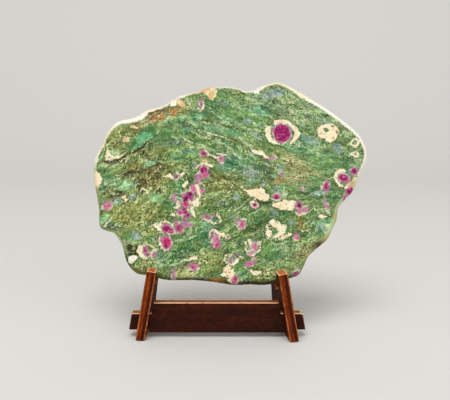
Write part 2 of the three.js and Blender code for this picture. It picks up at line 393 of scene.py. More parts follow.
# grey-green altered stone
tintedOvals = [
    ("mist", (69.5, 36.5, 3.2, 4.4, 30), (16, 22.5, 4.2, 4.4), (-63.2, 20.5, 1.4, 3),
     (39.6, 61.5, 1.8, 3.6, -10)),
    ("mint", (-1.8, 13.8, 1.8, 2.6), (32, 75.5, 2.2, 1.2, -10), (-24, 121, 3.4, 2.2),
     (-11, 111.5, 6, 2.2, -10)),
    ("sage", (-57.5, 19.5, 2.2, 3.6), (31.8, 37, 2.6, 3.4, -20)),
    ("slate", (38.5, 109, 8.6, 8.2, 10), (32.5, 139, 8, 3.6, 10), (12.5, 117.5, 3.4, 2.4),
     (60.5, 103, 6.4, 1.9, -15), (19.5, 106.5, 5, 1.8, -25), (71, 117, 4.2, 1.4), (33.5, 66, 2.2, 2.4),
     (37, 82, 2.4, 2.2), (79.5, 96.5, 3.6, 4)),
    ("forest", (30.6, 109, 1, 4.6), (71, 110.3, 2.2, 1.7, -25), (-3.8, 5.3, 0.7, 0.6),
     (-1.3, 5.2, 0.7, 0.5)),
    ("moss", (46.5, 109, 1.1, 3.4)),
    ("smoke", (57, 121.3, 2.3, 1.9), (-6, 133, 2.2, 1.6), (-64, 64, 1.6, 1.3), (-33, 94, 2.6, 2.4)),
    ("slate", (-3.5, 132, 2.2, 1.6), (-70.5, 69, 2.2, 1.6), (-68.5, 31.5, 3.8, 2.8, -20),
     (-83.5, 57, 4.2, 2, 10), (-71, 60, 2.6, 2.3), (68.4, 37, 1.8, 2.6, 30), (31.5, 48, 3, 1.8, -20),
     (63.5, 62.5, 5, 1.5, 5), (44, 41.5, 2.6, 1.3, 20), (2.4, 14.8, 1.6, 2.8), (83, 75, 4.8, 3.8, -15),
     (87.3, 79.5, 1.4, 1.6), (-26, 84.5, 1.8, 1.3, 20), (6, 4.5, 1.6, 1, 20), (-50, 14, 2.4, 1.2, 20),
     (12, 79.5, 2.2, 1.4), (15.5, 75.5, 2, 1.8, -30), (14.5, 70.5, 1.6, 1.2), (20, 79, 1.6, 1),
     (23.5, 76, 1.4, 1.2), (24, 69, 1.6, 1.1), (15, 91.5, 1.6, 1.6), (27, 84.5, 1.6, 1.4), (4, 60, 2, 2.4),
     (-5, 56, 2.4, 1.2, 20)),
    ("teal", (-30, 93.8, 1.8, 1.4), (-60.5, 40.3, 2.2, 1.2, 15), (-33, 110, 3, 2.6),
     (3, 108.5, 7, 1.8, -18)),
    ("lilac", (4.5, 17.3, 1.6, 1.2), (-11, 28, 3.4, 5.6, -12), (-12, 44.3, 3, 2.2, 20)),
    ("smoke", (-11.5, 43.5, 2.2, 1.7, 30), (7, 28, 1.2, 1), (49.5, 99.5, 1.2, 1), (-42, 44.5, 1.6, 1.2)),
]

# larger patches of the same kind, as the points round each one
tintedPatches = {
    "mist": [
        [(-89, 91.5), (-89.5, 94), (-86, 94.8), (-83, 94.4), (-81.5, 92.4), (-84, 90.8)],
    ],
    "forest": [
        [(-75.8, 94.5), (-74.8, 97.7), (-70.4, 105.5), (-65.9, 111.8), (-58.3, 114.2), (-55.2, 111),
         (-55.2, 106.3), (-64.2, 100), (-70.2, 95.3)],
    ],
    "aqua": [
        [(-70.4, 105.5), (-65.9, 109.4), (-59.8, 109.4), (-55.9, 106.3), (-61.2, 102.4), (-68, 99.2),
         (-70.3, 101.6)],
        [(-74.7, 96.1), (-71.7, 98.4), (-68, 99.2), (-70.2, 96.1)],
    ],
    "mint": [
        [(-82.5, 66.3), (-80, 70.8), (-76, 72), (-72, 71.6), (-69.6, 70), (-73.5, 67), (-77, 64.9),
         (-80.3, 64.5)],
        [(-63.4, 84.8), (-61.5, 86.6), (-57.5, 87), (-54.8, 85.6), (-55.8, 83.4), (-60, 82.2)],
        [(-60, 57.6), (-58, 60.4), (-54, 61), (-51.5, 60), (-53, 57.6), (-57, 56.6)],
        [(-37.5, 116.4), (-39, 120), (-37.4, 122.4), (-34.6, 121), (-35, 117.6)],
        [(-29.4, 118), (-27.5, 118.4), (-24.6, 114.6), (-26, 113.4), (-28.6, 115.6)],
    ],
}

# small marks that lie on the pale patches
flecks = [
    ("rust", (79, 109, 0.9, 1.6, 20), (76.5, 104.5, 0.7, 0.7), (67, 108, 0.7, 0.5), (-2.4, 2.7, 0.9, 0.5),
     (12.5, 65.7, 2.6, 0.5, -8), (40.5, 30.8, 1.6, 0.4, 20), (-23.8, 60.8, 0.6, 1.4, 10),
     (89.5, 70.5, 1.4, 0.6, 60)),
    ("forest", (71, 110.5, 2.3, 1.6, -25), (-3.8, 5.3, 0.8, 0.6), (-1.3, 5.2, 0.8, 0.6)),
    ("umber", (76, 113.6, 1.3, 0.7, -20), (69.5, 103.8, 1.2, 0.6, 20)),
    ("olive", (0.3, 7.6, 0.9, 0.5, 20), (-25.3, 54.8, 0.8, 0.6)),
    ("honey", (21.5, 62.5, 1.2, 0.5, 20), (36.5, 53.6, 1.2, 0.5, 10)), ("sage", (-89.8, 90, 1.8, 0.7, 10)),
]

# broad changes of the green ground
zones = [
    ("olive", (-60, 86, 30, 15, 10)), ("straw", (-66, 46, 26, 14, 12), (-82, 106, 15, 13, 45)),
    ("sage", (-78, 116, 9, 3, 35)), ("olive", (-88, 101, 5, 5)), ("meadow", (-92, 70, 8, 20)),
    ("forest", (-94, 73, 5, 10)), ("bark", (-87, 60.5, 6, 4)), ("sage", (-85, 80, 6, 2.6)),
    ("rust", (-50, 121, 15, 5, 22)), ("leaf", (-40, 108, 20, 9, 5), (-68, 103, 12, 5.6, 42)),
    ("teal", (-38, 114, 12, 4, -12), (-23, 121.5, 7, 3, 8)), ("moss", (-46, 113.5, 7, 2.6, 15)),
    ("sage", (-35, 111, 6, 3.4)), ("mint", (-9, 110.2, 10.5, 2.6, -14)), ("sage", (14, 101.5, 13, 4, -24)),
    ("forest", (-5, 99, 8, 2.6, -26)), ("leaf", (10, 124, 22, 10)),
    ("amber", (-50, 122.2, 9, 2.2, 20), (-58, 119.5, 5, 1.8, 24), (-42, 125.5, 4, 1.6, 22)),
    ("fern", (16, 131, 14, 6, -5)), ("forest", (-12, 128, 9, 6, -20)), ("leaf", (-3, 133, 6, 3)),
    ("sage", (5, 135, 7, 3.6), (42, 124.5, 9, 3, -14)), ("fern", (50, 126, 24, 11, -32)),
    ("teal", (24, 126, 9, 4)), ("fern", (45, 123, 12, 4.6, -14)),
    ("forest", (50, 108, 7, 6, -20), (-2, 93, 16, 8, -38)), ("teal", (2, 84, 9, 6)),
    ("forest", (18, 80, 15, 11, -20)), ("slate", (14, 78, 6, 4)), ("moss", (29, 76, 8, 5, 10)),
    ("umber", (26, 88, 6, 2.2, -30)),
    ("tan", (47, 84, 14, 7, -24), (55, 79, 9, 5, -35), (50, 72, 11, 4.6, -12)), ("rust", (36, 72, 4, 3)),
    ("teal", (58, 97, 18, 5, -15)), ("fern", (66, 96.5, 9, 4)), ("leaf", (72, 84, 15, 6, -14)),
    ("forest", (86, 88, 10, 8), (57, 66, 14, 4.6)), ("fern", (82, 114, 12, 5, -40), (94, 93, 4, 11)),
    ("leaf", (64, 73, 6, 3, -20)), ("forest", (75, 62, 9, 8, -10), (66, 53, 12, 8)),
    ("teal", (68, 39, 7, 6, 15)), ("meadow", (60, 52, 8, 4)),
    ("forest", (41, 45, 8, 4), (17, 48, 9, 12, 10), (17, 19, 6, 5)),
    ("moss", (8, 52, 7, 6), (18, 35, 11, 6)), ("olive", (51, 42, 4, 8, 15)),
    ("sage", (40, 14, 19, 9, 26), (37, 84, 3, 5)), ("forest", (8, 27, 5, 6)), ("tan", (53, 20, 9, 3.6, 48)),
    ("leaf", (30, 20, 8, 6)), ("olive", (28, 3, 9, 4, 5)), ("leaf", (8, 6, 5, 5)),
    ("straw", (-14, 15, 9, 7, 20)), ("teal", (-17, 33, 6, 10)),
    ("forest", (-30, 27, 14, 8, 18), (-42, 16, 14, 6, 12)),
    ("tan", (-33, 4.5, 7, 4, -10), (-24, 15, 6, 2.6, 25)), ("meadow", (-10, 58, 13, 10, 20)),
    ("olive", (-62, 10, 7, 5), (-6, 70, 14, 7, 20)), ("moss", (-29, 79, 4, 9, -12)),
    ("leaf", (-35, 92, 12, 5, 10), (-48, 54, 6, 7, 8)), ("honey", (-19.5, 87, 3, 1.8, 10)),
    ("straw", (-56, 48, 6, 5)), ("mint", (-56, 59.5, 6, 3), (-59, 85, 5, 2.2, 5)),
    ("olive", (-58, 66, 9, 5, 10), (-76, 37, 10, 5, -38)),
    ("forest", (-36, 70, 5, 9), (-38, 51, 5, 8), (-40, 40, 8, 3.4)), ("moss", (-78, 28, 6, 3, -50)),
    ("mint", (-78, 68.5, 5.6, 3, 12), (-85.5, 92.5, 3.6, 1.8), (-86.5, 72, 5.4, 1.2)),
    ("leaf", (-72, 30, 6, 5, -30)),
    ("umber", (-70, 22, 8, 3.4, -40), (-84, 38, 5, 3, -20), (-66, 98, 10, 2.6, 26), (-88, 86.6, 7, 1.8, 6)),
    ("straw", (-84, 47, 9, 7, 10)), ("leaf", (-92, 42, 3.4, 4)), ("shade", (-86, 38.8, 3, 1.6)),
    ("mint", (-90.5, 44.5, 2, 2.6), (-51, 39, 1.8, 1.8), (38.5, 63, 1.8, 5)), ("bark", (-58, 80, 13, 3, 6)),
    ("umber", (-72, 77.5, 9, 1.8, 18)), ("bark", (-62, 72, 10, 4.4, 4)), ("umber", (-82, 62, 5, 2.6, -6)),
    ("rust", (-77, 59, 3, 2), (21, 68.4, 5, 0.9), (16, 67.2, 5, 0.9, -10), (9.5, 63, 3, 1, -50),
     (-70, 111, 4, 1.4, 50)),
]

# how grainy the ground is where it has these tones; where it isn't grainy, it is streaked
grainy = {
    "olive": 1.0, "straw": 0.9, "tan": 1.0, "rust": 0.8, "fern": 0.45, "meadow": 0.7, "sage": 0.6,
    "moss": 0.7, "umber": 0.6, "bark": 0.9, "forest": 0.5, "slate": 0.8,
}

# pale feldspar, as the points round each patch
palePatches = {
    "ivory": [
        [(27.5, 113.9), (29, 113.9), (30.1, 112.3), (29.7, 108.3), (30, 105.2), (32.7, 102.1),
         (36.4, 100.5), (36.4, 99.3), (31.9, 100.1), (28.1, 102.1), (25.9, 106), (25.5, 110.7)],
        [(65.5, 68), (67.5, 69.5), (68, 66), (66.5, 65.3)],
        [(76, 75), (76.7, 78), (79.3, 80.7), (82.6, 81), (85.6, 79.9), (84.5, 78.4), (81, 78.4), (79, 75.9),
         (79, 72.2), (81, 69.5), (83.6, 68), (80.3, 67.8), (77.5, 70.2), (76.1, 73)],
        [(-27.5, 80.5), (-25, 83), (-22, 85.5), (-20, 86), (-17, 85.5), (-14, 84.5), (-12.5, 82.5),
         (-15.5, 82), (-17.5, 83.8), (-20, 84.6), (-22.5, 84), (-25, 81.5)],
        [(-50, 75.2), (-46, 76.7), (-44.5, 77.7), (-42, 75.5), (-41.5, 73), (-43.5, 73.5), (-46, 75)],
        [(-36.5, 78), (-34.3, 78.2), (-35, 76), (-36.5, 75), (-37, 73), (-38.2, 73.5), (-36.8, 76)],
        [(-36, 68.5), (-33.5, 71), (-31.5, 72.5), (-31, 70.5), (-32.5, 69), (-33.5, 67), (-34.7, 67.5)],
        [(-29.3, 53), (-28, 53.5), (-27.3, 50.5), (-25.1, 47), (-25.5, 44.8), (-27.7, 47), (-29.5, 50)],
        [(-41.7, 52), (-40, 53), (-39.5, 56), (-38, 57.5), (-36.7, 55), (-37, 52), (-39, 51.5)],
        [(-44.3, 47), (-42, 48.6), (-40.3, 47), (-40.3, 45.5), (-42.5, 46.3)],
        [(-57.8, 39), (-55, 40.5), (-53.5, 39.5), (-51, 41.5), (-49.8, 42.2), (-50.3, 39), (-52, 38),
         (-50.3, 36.5), (-50, 35), (-52.5, 35), (-54.5, 37), (-56, 38.5)],
        [(-68, 20.5), (-66.5, 24), (-63, 25.3), (-60.5, 25.6), (-60.5, 24), (-63, 23.5), (-64, 20),
         (-62.2, 17.5), (-60, 16.7), (-59.8, 15), (-62, 15), (-65, 16.5), (-67, 18.5)],
        [(-15.7, 34.5), (-13, 36.5), (-11, 36), (-8, 34.2), (-5, 33.7), (-3.8, 32), (-5, 30.8), (-7, 31.4),
         (-8.5, 31.6), (-10.5, 33.3), (-12.5, 35), (-14.5, 34), (-14.8, 31), (-13.8, 28.5), (-13.5, 26),
         (-14.7, 27), (-15.5, 30.5)],
        [(0, 10.2), (3, 10.5), (5.7, 12.3), (7, 15.2), (4, 15.2), (2.5, 12.7), (0.5, 11.6)],
        [(12.3, 29.3), (14, 29.6), (15.7, 27), (15.2, 24), (14, 22.5), (13.6, 25), (12.6, 27.5)],
        [(19.6, 27), (21.5, 28), (22.5, 26.5), (20.8, 24.5)],
        [(13.3, 6.5), (15, 7.2), (16, 5.8), (19, 5.9), (22.2, 6.4), (21.7, 4), (18.5, 2.8), (16, 3.6),
         (14.5, 5)],
        [(27.2, 41.4), (29, 42.8), (33, 42.5), (36.3, 40.5), (37.6, 37.7), (36.5, 34.7), (34.3, 34.9),
         (33.8, 36.5), (31.7, 38.4), (29, 39.9), (27.3, 40.5)],
        [(25.5, 39.9), (26.6, 39.9), (28.1, 36.8), (30.2, 34.1), (29.8, 32.6), (26.8, 28.9), (25.2, 32.9),
         (26.4, 35.9)],
        [(29.2, 28.3), (31.9, 32), (34.7, 34.4), (36.7, 36.8), (38.4, 40.1), (41, 38.7), (40, 35.3),
         (37.4, 32.3), (33.7, 30)],
        [(63.3, 45), (65.5, 47.2), (69, 46.7), (71.2, 46), (69, 44.6), (66, 44.3)],
        [(41, 57.4), (43, 57), (46.6, 58), (48.2, 56), (46.4, 53.4), (46, 51), (43, 50), (41, 51)],
        [(15, 96.5), (18, 95.3), (20, 94.7), (24, 94.2), (27, 91), (29.3, 89), (26, 89.3), (23, 91.3),
         (19, 91.8), (16, 94)],
    ],
    "shell": [
        [(32.2, 115), (32.8, 117.8), (35.9, 118.4), (42, 118.4), (45.1, 116.8), (46.8, 114.9),
         (49.8, 112.3), (52, 108.3), (50.4, 105.2), (47.2, 101.9), (44, 99.5), (44.6, 101.3), (46.6, 105.2),
         (47.4, 108.3), (46.3, 111.3), (44.8, 113.3), (42.5, 114.9), (38.2, 115.6), (34.3, 115)],
        [(7, 67.8), (9, 68), (11, 65.5), (14, 65.8), (20, 66), (22, 67.3), (24.5, 66.8), (25.5, 63),
         (28.5, 61.5), (28, 58), (25, 57), (22, 57.5), (19.5, 59), (16, 60.5), (14, 61.5), (11, 64)],
        [(30.8, 56), (34, 55.8), (37, 56.5), (39, 58), (41, 57.4), (41.5, 51), (40, 51), (38, 50),
         (35, 51.5), (31.5, 53), (30.5, 54)],
        [(64.3, 110.5), (67, 114), (71, 115.5), (76, 115.2), (80, 112.5), (80, 108), (78, 103.5), (75, 101),
         (71.5, 101.5), (69, 104), (66, 105.5), (65, 108)],
        [(-26.5, 69.5), (-24.5, 70), (-22.2, 66), (-21.8, 61.5), (-23.5, 57), (-22, 55.5), (-24, 52.5),
         (-26.5, 53), (-29, 56.5), (-26, 57.5), (-24.5, 60), (-24.8, 64), (-25.8, 67)],
        [(-5, 8), (-3, 9.7), (-0.5, 9.5), (1.7, 7.5), (3, 5), (2, 2.5), (0.3, -3), (-2.5, -3.3), (-2, 1.5),
         (-4, 1.7), (-7, 3), (-6, 4.5), (-4.5, 5.5), (-4.8, 7)],
        [(31.5, 28.2), (35, 29.3), (38, 31.3), (40.5, 32), (43, 34.2), (44.3, 33), (43, 31), (39.5, 29.8),
         (36.5, 28.6), (33.5, 27.9)],
        [(-92.8, 91), (-92, 95.5), (-89.5, 95.5), (-89, 92), (-86, 90.8), (-82, 91), (-79.5, 92),
         (-78, 93.5), (-79.5, 91), (-82, 89), (-86, 88.6), (-89, 87.6), (-92.3, 87.8)],
        [(14, 56), (17.5, 58.7), (20, 57), (20.7, 54), (19, 51.8), (17.5, 51), (15.5, 52.2), (14.3, 54.5)],
    ],
    "peach": [
        [(-80.5, 102.3), (-79, 104.6), (-76.6, 105.6), (-75, 104.6), (-75, 102.6), (-77.4, 101.4)],
        [(-75, 113.5), (-72, 114.2), (-70, 113), (-68.3, 112), (-70, 111.2), (-73.5, 112)],
    ],
    "sand": [
        [(82.7, 67.7), (85.6, 69.6), (88.3, 71.6), (90.6, 75.1), (93.9, 75.1), (92.8, 71.5), (91, 68.1),
         (90.1, 65.8), (86.8, 67.1), (84.2, 65.8)],
    ],
    "honey": [
        [(-20.5, 142), (-19, 144.5), (-12, 144.5), (-9.7, 141), (-11, 137), (-13, 133.7), (-15.5, 134.2),
         (-18, 137.5), (-21.7, 140)],
        [(-42, 135), (-39, 135.5), (-36, 133), (-33.7, 130), (-35.5, 128.3), (-38, 128.7), (-40, 131),
         (-42, 129.5), (-44, 131.5)],
    ],
    "white": [
        [(-74, 16), (-70, 17.3), (-66.8, 16.6), (-67.5, 15), (-69.5, 13.3), (-71.3, 11), (-74, 12.5)],
        [(16, 140.5), (18, 142.5), (22, 143), (21, 139), (18, 138.7)],
        [(-46, 131), (-42.5, 134.5), (-40.5, 133), (-41, 129.5), (-44, 128.5)],
    ],
}

# pale threads: a width, then the points along it
ivoryThreads = [
    (1.4, (-51.5, 30), (-51, 26), (-49.5, 23), (-47.5, 21), (-45.5, 21.7), (-44, 23.5), (-42.3, 27)),
    (1, (-49, 41.3), (-47, 42.3), (-44.5, 41.2), (-42.8, 39.5), (-41.2, 37), (-40.3, 33.5), (-42.5, 32.6),
     (-45.5, 33.2)),
    (1.1, (-60, 25.2), (-57.3, 24.2), (-55.3, 22.5)),
    (1.1, (-4, 16.5), (-4, 13.7), (-2.2, 11.2), (0.5, 10.6)), (0.8, (-3.8, 17.2), (-2, 17.5), (0.5, 17.9)),
    (1.5, (7.2, 16.2), (8.2, 15.5)), (1.1, (11, 26.5), (10.7, 22), (12, 18.7), (14.5, 16.9), (17, 17.8)),
    (1, (20, 19.5), (21.5, 22.5), (21, 25)), (1.2, (4.3, 39), (5.5, 37), (8, 36.8), (10.2, 38)),
    (1, (8, 43.8), (10.5, 43.8)), (1.2, (47.3, 48.2), (50, 46.7), (53, 47), (55, 48.3)),
    (0.6, (51, 36.5), (53, 34.5), (55, 35.5), (58, 36.5)),
    (1.2, (-19.5, 43.7), (-17.5, 42.7), (-15, 42.5), (-13, 40.8), (-10.5, 40.3)),
    (1.2, (-9.7, 47), (-8.2, 44.5), (-7.2, 42.7), (-8.2, 41.5)),
    (0.4, (-6, 62.5), (-3, 63.5), (1, 64.2), (0.8, 66), (0, 68)),
    (1.1, (-92.5, 38), (-91, 39), (-89.4, 41.4), (-87.8, 43), (-86.5, 45)),
    (0.4, (-22, 71), (-19.5, 69), (-18.5, 66)),
    (1.2, (-24.5, 127.8), (-22.5, 126), (-20.7, 127.3), (-20.5, 130)),
    (1.1, (-36, 12.4), (-33, 14.3), (-30, 14.4)), (2, (-29, 14.7), (-25, 15.6)),
    (1.2, (88.3, 91.3), (90, 92.5), (92.5, 93.8), (95, 92.5), (93.5, 90.3), (91, 90.5), (89.5, 91.5)),
    (1.4, (89, 99.5), (89.5, 102), (92.5, 104), (95, 102.5), (94.5, 99.5), (92, 98), (89.5, 99)),
    (0.7, (-35.5, 104.5), (-32.9, 102.9), (-28.3, 101)),
    (0.5, (-26, 110.8), (-21.5, 110.4), (-17, 108.6), (-11, 106.9), (-5, 105), (0.6, 102)),
    (1.4, (-17, 92.5), (-14, 91.5), (-10.5, 89.5)), (1, (-10, 92.8), (-3.5, 91.5)),
    (1.5, (-76.5, 57.5), (-77.5, 60.5)), (1.2, (-79.5, 59.5), (-75.5, 58.5)),
    (0.9, (-66, 64.5), (-64.5, 66), (-62.2, 65.3), (-61.8, 63), (-64, 61.8)),
    (0.9, (-45, 59), (-43.8, 61.7)),
]
mistThreads = [
    (1, (-74, 57.5), (-71, 56.7), (-68.2, 58), (-67.8, 61)), (1.6, (-32, 118), (-28, 115), (-25, 113.3)),
    (1.8, (-22, 116.7), (-18, 116.4), (-14, 115.3), (-11, 116.3)),
    (1.1, (-31, 109.5), (-25, 107.5), (-20, 104)), (1.1, (2, 105), (8, 102.5), (14, 98.5)),
    (1.4, (-26, 100.5), (-21, 98.5), (-16, 96)), (1.1, (-12, 103.5), (-5, 100), (2, 96)),
    (1.2, (-6, 97.5), (2, 93.5), (7, 88.5)), (1.2, (2, 106), (9, 103), (15, 99)),
    (1.3, (8, 112.5), (14, 111.5), (22, 110)), (1.1, (12, 122), (22, 122.5), (34, 121)),
    (1.1, (5, 128), (15, 131), (24, 131)), (1.1, (10, 135.5), (18, 134.5), (26, 134)),
    (1.2, (45, 129), (52, 125.5), (58, 124)), (1.1, (44, 98.5), (52, 98), (60, 94.5)),
    (1, (64, 76), (72, 74), (78, 75)), (1, (72, 80), (80, 78.5)),
    (1.2, (52, 28), (55, 27), (58, 29), (62, 30)), (1, (60, 33), (64, 38), (68, 42)),
    (0.9, (58, 36.5), (58.5, 39.5), (60.5, 42)), (0.8, (53, 40), (56, 41.5), (59, 44.5)),
    (0.9, (55, 31), (57, 33), (56.5, 36)), (0.8, (63, 35), (62.5, 39), (64.5, 41)),
    (1, (-40, 30.5), (-34, 30.5), (-28, 33.5)), (1.1, (-40, 27.5), (-32, 28), (-25, 31.5)),
    (1.1, (-60, 12), (-52, 12.5), (-46, 15)), (1, (-68, 8), (-62, 11), (-58, 13)),
    (1.2, (-55, 9), (-50, 9.5), (-46, 10), (-41, 10.3), (-35, 13)), (1.1, (12, 46), (18, 49), (24, 53)),
    (1, (3, 50), (8, 54), (15, 60)), (1, (-14, 60), (-8, 64), (-2, 65)), (1, (-6, 72), (-1, 71), (3, 67)),
    (1, (20, 74), (27, 70), (31, 64)), (1.2, (30, 85), (34, 80), (40, 78)),
    (1, (-95, 84), (-88, 82), (-82, 85)), (1, (-92, 70.5), (-84, 69), (-78, 72.5)),
    (1, (-70, 88.5), (-62, 87), (-54, 88)), (1, (-88, 62.5), (-80, 62), (-74, 65)),
]

# dark seams: a width, then the points along it
seams = [
    (0.9, (-93, 86.2), (-86.5, 86.6), (-81, 88.5), (-76, 92.3), (-70, 94.4), (-65, 98.5), (-61.5, 101.3)),
    (0.5, (-79, 77), (-70, 79), (-66, 80.6), (-61, 82), (-56, 83), (-51, 84.4), (-46, 83)),
    (0.6, (-67, 68), (-61.5, 70), (-63, 72.5), (-67, 73.5)),
    (0.8, (-62, 121.5), (-60, 123.6), (-55, 125.5), (-50, 126)), (0.6, (-66, 92), (-64, 95)),
    (0.4, (-60, 87.6), (-55, 87.6)), (0.8, (-73, 18), (-67.5, 18)), (0.5, (10, 57), (13, 60)),
    (0.5, (17, 57), (22, 56), (29, 56)), (0.5, (31, 51.7), (35, 51.8)), (0.4, (33, 27), (35, 26.8)),
    (0.2, (14, 140), (6, 138.5), (0, 137.5)), (0.3, (-22, 117.8), (-17, 117.4), (-14, 116.6)),
    (0.3, (-18, 105.5), (-12, 103.5)), (0.5, (-16.5, 80), (-14.5, 77), (-13, 74.6)),
]

# the weathered rim all the way round, partly its own colour and partly painted light: white and ivory along
# the top as painted top light, dark umber and moss underneath as painted shade; bearing in degrees from the
# middle of the slab, tone, and how far past the edge of the face it starts
rimTones = [
    (0, "ivory", 0.6), (10, "white", 0.4), (20, "white", 0.6), (28, "white", 0.6), (40, "white", 0.2),
    (52, "ivory", -1), (60, "ivory", 0.2), (69, "ivory", 0.8), (73, "white", -1), (77, "white", 0.8),
    (93, "white", 0.4), (104, "honey", -0.4), (113, "shell", 1), (121, "white", -0.6), (127, "white", 1.4),
    (134, "shell", 0.6), (143, "white", -2), (151, "white", -0.6), (160, "ivory", 0.8), (170, "white", 0.6),
    (174, "mist", 1.4), (175.8, "shell", -1.6), (177.8, "shell", -3), (180.2, "shell", -1.4),
    (182, "tan", 0.6), (190, "sage", 1.6), (200, "sage", 1.4), (207, "mist", 1.2), (216, "moss", 1),
    (228, "olive", 1.8), (238, "moss", 2), (255, "umber", 2.4), (262, "rust", 0.8), (268, "umber", 2),
    (290, "umber", 2.4), (305, "moss", 2), (318, "tan", 1), (325, "umber", -0.6), (330, "tan", -0.4),
    (336, "mist", -0.8), (343, "tan", -0.6), (350, "mist", 0.6),
]

# how far the layers rise at places from left to right, near the top of the slab and near its foot
layerRise = {
    "top": {
        -100: -42, -85: -30, -70: -17, -55: -7, -42: -2, -30: -2, -15: -7, 0: -14, 20: -24, 40: -32, 60: -38,
        80: -41, 100: -42,
    },
    "foot": {-100: -38, -50: -20, 0: 0, 30: 10, 60: 17, 100: 22},
    "footEnds": 42.0,  # height where the foot's rise starts to give way to the top's
    "topStarts": 94.0,
}

# marks scattered over the back, where nothing is known of the real ones
backMarks = {
    "seed": 12,
    "crystals": 38,
    "ringed": 0.35,  # share of the crystals with a pale ring
    "tones": ["ruby", "ruby", "rose", "pink", "lilac", "plum"],
    "spots": 30,
    "spotTones": ["slate", "slate", "smoke", "mint", "aqua"],
    "patches": 16,
    "patchTones": ["shell", "ivory", "honey"],
}


def ovalGap(spots, oval, depth=0.0, corners=0.0):
    # distance from each point to the edge of an oval, negative inside it
    u, v, halfWidth, halfHeight, turn = (*oval, 0)[:5]
    angle = math.radians(turn)
    right = spots[:, 0] - u
    up = spots[:, 1] - v
    along = (right * math.cos(angle) + up * math.sin(angle)) / halfWidth
    across = (up * math.cos(angle) - right * math.sin(angle)) / halfHeight
    deep = (spots[:, 2] - depth) / (1.4 * max(halfWidth, halfHeight))
    reach = np.sqrt(along ** 2 + across ** 2 + deep ** 2)
    if corners:
        sixth = math.pi / 3
        bearing = (np.arctan2(across, along) + 0.7 * u) % sixth - sixth / 2
        reach = reach * (1 + corners * (np.cos(bearing) / math.cos(sixth / 2) - 1))
    return (reach - 1) * min(halfWidth, halfHeight)


def lineGap(spots, line):
    # distance from each point to a line of points on the front face
    nearest = np.full(len(spots), 1e3)
    for start, end in zip(line, line[1:]):
        start = np.array([*start, 0.0])
        step = np.array([*end, 0.0]) - start
        share = np.clip((spots - start) @ step / (step @ step), 0, 1)
        nearest = np.minimum(nearest, np.linalg.norm(spots - start - share[:, None] * step, axis=1))
    return nearest


def threadGap(spots, threads):
    # distance from each point to the edge of the nearest thread
    return np.min([lineGap(spots, line) - width / 2 for width, *line in threads], axis=0)


def patchGap(spots, outline):
    # distance from each point to the edge of a patch, negative inside it
    gap = lineGap(spots * np.array([1, 1, 0]), [*outline, outline[0]])
    gap[isInside(spots, np.array(outline, float))] *= -1
    return gap + 0.6 * spots[:, 2]


class Marks:
    # the nearest of several marks: its distance and its tone; a later one lies on top
    def __init__(self, spots):
        self.spots = spots
        self.gap = np.full(len(spots), 30.0)
        self.tone = np.tile(np.array(tones["ivory"]), (len(spots), 1))

    def add(self, tone, gap):
        self.tone[(gap < self.gap) | (gap < 0)] = tones[tone]
        self.gap = np.minimum(gap, self.gap)

    def addOval(self, tone, oval, depth=0.0, corners=0.0):
        self.add(tone, ovalGap(self.spots, oval, depth, corners))

    def addOvals(self, rows, corners=0.0):
        for tone, *ovals in rows:
            for oval in ovals:
                self.addOval(tone, oval, 0.0, corners)

    def addPatches(self, patches):
        for tone, outlines in patches.items():
            for outline in outlines:
                self.add(tone, patchGap(self.spots, outline))


def groundTone(spots):
    # the tone of the green ground, and how grainy it is
    spots = spots + spots[:, 2:] * np.array([*slabShape["askew"], -1])
    shade = np.tile(np.array(tones["meadow"]), (len(spots), 1))
    grain = np.full(len(spots), slabShape["meadowGrain"])
    for tone, *ovals in zones:
        for oval in ovals:
            blur = slabShape["zoneBlur"] * min(oval[2:4])
            cover = slabShape["zoneCover"] / (1 + np.exp(np.clip(ovalGap(spots, oval) / blur, -30, 30)))
            shade += cover[:, None] * (np.array(tones[tone]) - shade)
            grain += cover * (grainy.get(tone, slabShape["plainGrain"]) - grain)
    return shade, grain


def rimTone(points, past):
    # the rim's tone at each point, and how far the point is past the start of it
    middle = np.array(slabShape["middle"])
    bearing = np.degrees(np.arctan2(points[:, 1] - middle[1], points[:, 0] - middle[0])) % 360
    bearings, names, starts = zip(*rimTones)
    shades = [[tones[name][channel] for name in names] for channel in range(4)]
    shade = np.stack([np.interp(bearing, bearings, values, period=360) for values in shades], 1)
    return shade, past - np.interp(bearing, bearings, starts, period=360)


def foliation(spots):
    # the stone's layers: along them, across them and through the slab
    right, up, deep = spots.T
    rises = [layerRise[part] for part in ("top", "foot")]
    top, foot = (np.interp(right, list(rise), list(rise.values())) for rise in rises)
    sweep = (up - layerRise["footEnds"]) / (layerRise["topStarts"] - layerRise["footEnds"])
    sweep = np.clip(sweep, 0, 1)
    sweep = sweep * sweep * (3 - 2 * sweep)
    return np.stack([right, up - (sweep * top + (1 - sweep) * foot), deep], 1)


def markBack(ruby, grey, pale):
    # the back has crystals along a slanting band, and spots and patches all over
    chance = np.random.default_rng(backMarks["seed"])
    depth = slabShape["thickness"]
    for _ in range(backMarks["crystals"]):
        u = chance.uniform(-85, 85)
        v = 70 + 0.3 * u + chance.normal(0, 24)
        size = 1.3 + 4.5 * chance.random() ** 3
        turn = chance.uniform(0, 180)
        if chance.random() < backMarks["ringed"]:
            pale.addOval("shell", (u, v, size * 1.7, size * 1.4, turn), depth)
        tone = chance.choice(backMarks["tones"])
        ruby.addOval(tone, (u, v, size * 1.3, size, turn), depth, slabShape["crystalCorners"])
    for _ in range(backMarks["spots"]):
        u, v, wide = chance.uniform((-90, 0, 1.5), (90, 140, 6))
        grey.addOval(chance.choice(backMarks["spotTones"]), (u, v, wide, wide * 0.45, -15), depth)
    for _ in range(backMarks["patches"]):
        u, v, wide = chance.uniform((-85, 10, 1.5), (85, 130, 6.5))
        place = (u, v, wide, wide * chance.uniform(0.3, 0.5), chance.uniform(-40, 20))
        pale.addOval(chance.choice(backMarks["patchTones"]), place, depth, slabShape["patchCorners"])


